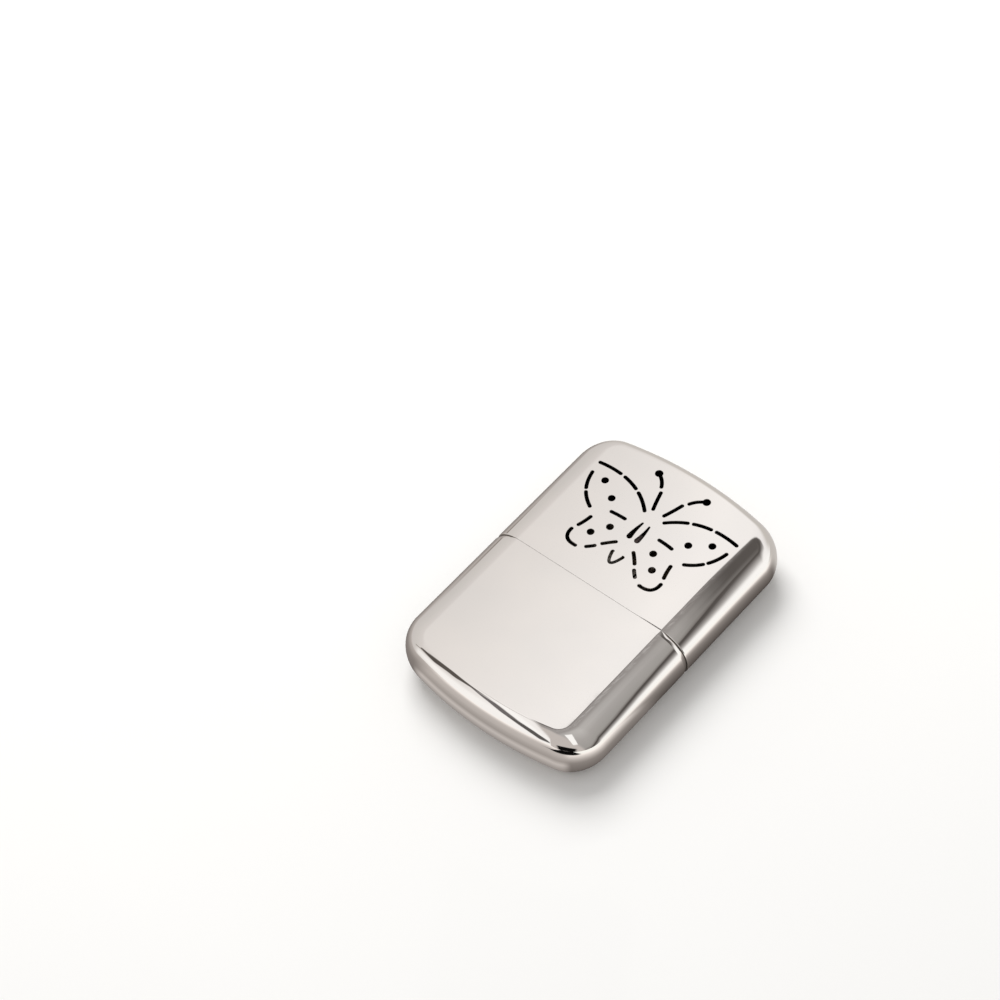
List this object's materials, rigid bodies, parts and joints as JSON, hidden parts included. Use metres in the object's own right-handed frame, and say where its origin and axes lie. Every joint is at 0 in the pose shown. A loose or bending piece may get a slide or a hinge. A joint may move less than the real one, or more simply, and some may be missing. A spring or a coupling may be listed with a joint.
{
  "type": "catalytic hand warmer",
  "caption": "Pocket catalytic hand warmer: a drawn metal tank with a neck and filler mouth, a lift-off catalyst burner and a slide-on vented cap.",
  "frame": {"origin": "centre of the closed case's flat back, on the surface it lies on", "axes": "+Z through the thickness from the back to the vented front, +Y along the length towards the cap's end, +X across the width to the right as seen from the front with the cap up"},
  "size_m": [0.07, 0.1, 0.018],
  "materials": {
    "polished_case": "mirror polish",
    "polished_neck": "polished",
    "plated_mouth": "plated, satin",
    "burner_sheet": "stamped, satin",
    "gauze_wire": "dull wire",
    "catalyst_fibre": "matted glass fibre",
    "felt": "dense felt",
    "cotton": "packed cotton"
  },
  "bodies": {
    "tank": {"tank_shell": "polished_case", "neck_insert": "polished_neck", "filler_mouth": "plated_mouth", "felt_wick": "felt", "cotton_fill": "cotton"},
    "burner": {"burner_skirt": "burner_sheet", "burner_cage": "burner_sheet", "support_gauze": "gauze_wire", "catalyst_mat": "catalyst_fibre", "guard_grille": "burner_sheet"},
    "cap": {"cap_shell": "polished_case"}
  },
  "joints": [
    {"name": "cap_slide", "type": "slide", "parent": "tank", "child": "cap", "axis": [0, 1, 0], "range_m": [0, 0.045]},
    {"name": "burner_lift", "type": "slide", "parent": "tank", "child": "burner", "axis": [0, 1, 0], "range_m": [0, 0.01]}
  ]
}
